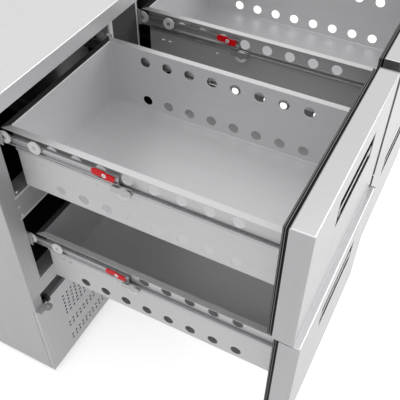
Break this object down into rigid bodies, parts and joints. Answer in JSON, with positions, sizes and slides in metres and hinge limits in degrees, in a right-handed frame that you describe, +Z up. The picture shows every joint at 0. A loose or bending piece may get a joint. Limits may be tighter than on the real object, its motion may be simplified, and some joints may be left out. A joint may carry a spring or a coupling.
{
  "type": "refrigerated drawer counter",
  "caption": "Stainless steel refrigerated counter with perforated drawers on telescopic slides, shown pulled out, over a ventilated machine room.",
  "frame": {"origin": "on the floor, below the centre of the counter with its drawers pulled out", "axes": "+X along the counter's width, +Y from the drawer fronts to the cabinet's back, +Z up"},
  "size_m": [0.9, 1.2452, 0.89],
  "materials": {
    "worktop": "pale satin stainless steel",
    "outer_casing": "brushed stainless steel",
    "liner": "brushed stainless steel",
    "insulation": "rigid foam",
    "front_frame": "grey brushed stainless steel",
    "grille_panel": "brushed stainless steel",
    "hinge_bracket": "brushed stainless steel",
    "hinge_bush": "black plastic",
    "compressor": "black painted steel",
    "condenser": "plain aluminium fins",
    "evaporator": "plain aluminium fins",
    "foot_front_left": "black plastic",
    "foot_front_right": "black plastic",
    "foot_rear_left": "black plastic",
    "foot_rear_right": "black plastic",
    "left_carrier_left": "brushed stainless steel",
    "left_carrier_right": "brushed stainless steel",
    "right_carrier_left": "brushed stainless steel",
    "right_carrier_right": "brushed stainless steel",
    "condenser_fan": "black plastic",
    "upper_left_tray": "pale satin stainless steel",
    "upper_left_front": "pale brushed stainless steel, folded round the back",
    "upper_left_core": "rigid foam",
    "upper_left_seal": "black ribbed seal",
    "upper_left_drawer_rail_left": "brushed stainless steel",
    "upper_left_drawer_rail_right": "brushed stainless steel",
    "upper_left_middle_rail_left": "brushed stainless steel",
    "upper_left_middle_rail_right": "brushed stainless steel",
    "upper_left_latch_left": "red gloss plastic",
    "upper_left_latch_right": "red gloss plastic",
    "upper_right_tray": "pale satin stainless steel",
    "upper_right_front": "pale brushed stainless steel, folded round the back",
    "upper_right_core": "rigid foam",
    "upper_right_seal": "black ribbed seal",
    "upper_right_drawer_rail_left": "brushed stainless steel",
    "upper_right_drawer_rail_right": "brushed stainless steel",
    "upper_right_middle_rail_left": "brushed stainless steel",
    "upper_right_middle_rail_right": "brushed stainless steel",
    "upper_right_latch_left": "red gloss plastic",
    "upper_right_latch_right": "red gloss plastic",
    "lower_left_tray": "pale satin stainless steel",
    "lower_left_front": "pale brushed stainless steel, folded round the back",
    "lower_left_core": "rigid foam",
    "lower_left_seal": "black ribbed seal",
    "lower_left_drawer_rail_left": "brushed stainless steel",
    "lower_left_drawer_rail_right": "brushed stainless steel",
    "lower_left_middle_rail_left": "brushed stainless steel",
    "lower_left_middle_rail_right": "brushed stainless steel",
    "lower_left_latch_left": "red gloss plastic",
    "lower_left_latch_right": "red gloss plastic",
    "lower_right_tray": "pale satin stainless steel",
    "lower_right_front": "pale brushed stainless steel, folded round the back",
    "lower_right_core": "rigid foam",
    "lower_right_seal": "black ribbed seal",
    "lower_right_drawer_rail_left": "brushed stainless steel",
    "lower_right_drawer_rail_right": "brushed stainless steel",
    "lower_right_middle_rail_left": "brushed stainless steel",
    "lower_right_middle_rail_right": "brushed stainless steel",
    "lower_right_latch_left": "red gloss plastic",
    "lower_right_latch_right": "red gloss plastic"
  },
  "bodies": {
    "cabinet": {"worktop": "worktop", "outer_casing": "outer_casing", "liner": "liner", "insulation": "insulation", "front_frame": "front_frame", "grille_panel": "grille_panel", "hinge_bracket": "hinge_bracket", "hinge_bush": "hinge_bush", "compressor": "compressor", "condenser": "condenser", "evaporator": "evaporator", "foot_front_left": "foot_front_left", "foot_front_right": "foot_front_right", "foot_rear_left": "foot_rear_left", "foot_rear_right": "foot_rear_right", "left_carrier_left": "left_carrier_left", "left_carrier_right": "left_carrier_right", "right_carrier_left": "right_carrier_left", "right_carrier_right": "right_carrier_right"},
    "fan": {"condenser_fan": "condenser_fan"},
    "upper_left_drawer": {"upper_left_tray": "upper_left_tray", "upper_left_front": "upper_left_front", "upper_left_core": "upper_left_core", "upper_left_seal": "upper_left_seal", "upper_left_drawer_rail_left": "upper_left_drawer_rail_left", "upper_left_drawer_rail_right": "upper_left_drawer_rail_right"},
    "upper_left_slides": {"upper_left_middle_rail_left": "upper_left_middle_rail_left", "upper_left_middle_rail_right": "upper_left_middle_rail_right"},
    "upper_left_latch_left": {"upper_left_latch_left": "upper_left_latch_left"},
    "upper_left_latch_right": {"upper_left_latch_right": "upper_left_latch_right"},
    "upper_right_drawer": {"upper_right_tray": "upper_right_tray", "upper_right_front": "upper_right_front", "upper_right_core": "upper_right_core", "upper_right_seal": "upper_right_seal", "upper_right_drawer_rail_left": "upper_right_drawer_rail_left", "upper_right_drawer_rail_right": "upper_right_drawer_rail_right"},
    "upper_right_slides": {"upper_right_middle_rail_left": "upper_right_middle_rail_left", "upper_right_middle_rail_right": "upper_right_middle_rail_right"},
    "upper_right_latch_left": {"upper_right_latch_left": "upper_right_latch_left"},
    "upper_right_latch_right": {"upper_right_latch_right": "upper_right_latch_right"},
    "lower_left_drawer": {"lower_left_tray": "lower_left_tray", "lower_left_front": "lower_left_front", "lower_left_core": "lower_left_core", "lower_left_seal": "lower_left_seal", "lower_left_drawer_rail_left": "lower_left_drawer_rail_left", "lower_left_drawer_rail_right": "lower_left_drawer_rail_right"},
    "lower_left_slides": {"lower_left_middle_rail_left": "lower_left_middle_rail_left", "lower_left_middle_rail_right": "lower_left_middle_rail_right"},
    "lower_left_latch_left": {"lower_left_latch_left": "lower_left_latch_left"},
    "lower_left_latch_right": {"lower_left_latch_right": "lower_left_latch_right"},
    "lower_right_drawer": {"lower_right_tray": "lower_right_tray", "lower_right_front": "lower_right_front", "lower_right_core": "lower_right_core", "lower_right_seal": "lower_right_seal", "lower_right_drawer_rail_left": "lower_right_drawer_rail_left", "lower_right_drawer_rail_right": "lower_right_drawer_rail_right"},
    "lower_right_slides": {"lower_right_middle_rail_left": "lower_right_middle_rail_left", "lower_right_middle_rail_right": "lower_right_middle_rail_right"},
    "lower_right_latch_left": {"lower_right_latch_left": "lower_right_latch_left"},
    "lower_right_latch_right": {"lower_right_latch_right": "lower_right_latch_right"}
  },
  "joints": [
    {"name": "fan_spin", "type": "hinge", "parent": "cabinet", "child": "fan", "pos_m": [-0.2, 0.09335, 0.1443], "axis": [0, 1, 0], "continuous": true},
    {"name": "upper_left_drawer_slide", "type": "slide", "parent": "cabinet", "child": "upper_left_drawer", "axis": [0, 1, 0], "range_m": [-0.0126, 0.5405]},
    {"name": "upper_left_middle_slide", "type": "slide", "parent": "cabinet", "child": "upper_left_slides", "axis": [0, 1, 0], "range_m": [-0.0063, 0.27025]},
    {"name": "upper_left_latch_left_pivot", "type": "hinge", "parent": "upper_left_slides", "child": "upper_left_latch_left", "pos_m": [-0.4025, -0.23895, 0.765], "axis": [1, 0, 0], "range_deg": [0, 12], "stiffness_Nm_per_rad": 0.05},
    {"name": "upper_left_latch_right_pivot", "type": "hinge", "parent": "upper_left_slides", "child": "upper_left_latch_right", "pos_m": [-0.0635, -0.23895, 0.765], "axis": [1, 0, 0], "range_deg": [0, 12], "stiffness_Nm_per_rad": 0.05},
    {"name": "upper_right_drawer_slide", "type": "slide", "parent": "cabinet", "child": "upper_right_drawer", "axis": [0, 1, 0], "range_m": [-0.0126, 0.5405]},
    {"name": "upper_right_middle_slide", "type": "slide", "parent": "cabinet", "child": "upper_right_slides", "axis": [0, 1, 0], "range_m": [-0.0063, 0.27025]},
    {"name": "upper_right_latch_left_pivot", "type": "hinge", "parent": "upper_right_slides", "child": "upper_right_latch_left", "pos_m": [0.0635, -0.23895, 0.765], "axis": [1, 0, 0], "range_deg": [0, 12], "stiffness_Nm_per_rad": 0.05},
    {"name": "upper_right_latch_right_pivot", "type": "hinge", "parent": "upper_right_slides", "child": "upper_right_latch_right", "pos_m": [0.4025, -0.23895, 0.765], "axis": [1, 0, 0], "range_deg": [0, 12], "stiffness_Nm_per_rad": 0.05},
    {"name": "lower_left_drawer_slide", "type": "slide", "parent": "cabinet", "child": "lower_left_drawer", "axis": [0, 1, 0], "range_m": [0, 0.5531]},
    {"name": "lower_left_middle_slide", "type": "slide", "parent": "cabinet", "child": "lower_left_slides", "axis": [0, 1, 0], "range_m": [0, 0.27655]},
    {"name": "lower_left_latch_left_pivot", "type": "hinge", "parent": "lower_left_slides", "child": "lower_left_latch_left", "pos_m": [-0.4025, -0.23265, 0.4925], "axis": [1, 0, 0], "range_deg": [0, 12], "stiffness_Nm_per_rad": 0.05},
    {"name": "lower_left_latch_right_pivot", "type": "hinge", "parent": "lower_left_slides", "child": "lower_left_latch_right", "pos_m": [-0.0635, -0.23265, 0.4925], "axis": [1, 0, 0], "range_deg": [0, 12], "stiffness_Nm_per_rad": 0.05},
    {"name": "lower_right_drawer_slide", "type": "slide", "parent": "cabinet", "child": "lower_right_drawer", "axis": [0, 1, 0], "range_m": [-0.0126, 0.5405]},
    {"name": "lower_right_middle_slide", "type": "slide", "parent": "cabinet", "child": "lower_right_slides", "axis": [0, 1, 0], "range_m": [-0.0063, 0.27025]},
    {"name": "lower_right_latch_left_pivot", "type": "hinge", "parent": "lower_right_slides", "child": "lower_right_latch_left", "pos_m": [0.0635, -0.23895, 0.4925], "axis": [1, 0, 0], "range_deg": [0, 12], "stiffness_Nm_per_rad": 0.05},
    {"name": "lower_right_latch_right_pivot", "type": "hinge", "parent": "lower_right_slides", "child": "lower_right_latch_right", "pos_m": [0.4025, -0.23895, 0.4925], "axis": [1, 0, 0], "range_deg": [0, 12], "stiffness_Nm_per_rad": 0.05}
  ],
  "couplings": [
    {"joint": "upper_left_middle_slide", "follows": "upper_left_drawer_slide", "ratio": 0.5},
    {"joint": "upper_right_middle_slide", "follows": "upper_right_drawer_slide", "ratio": 0.5},
    {"joint": "lower_left_middle_slide", "follows": "lower_left_drawer_slide", "ratio": 0.5},
    {"joint": "lower_right_middle_slide", "follows": "lower_right_drawer_slide", "ratio": 0.5}
  ]
}
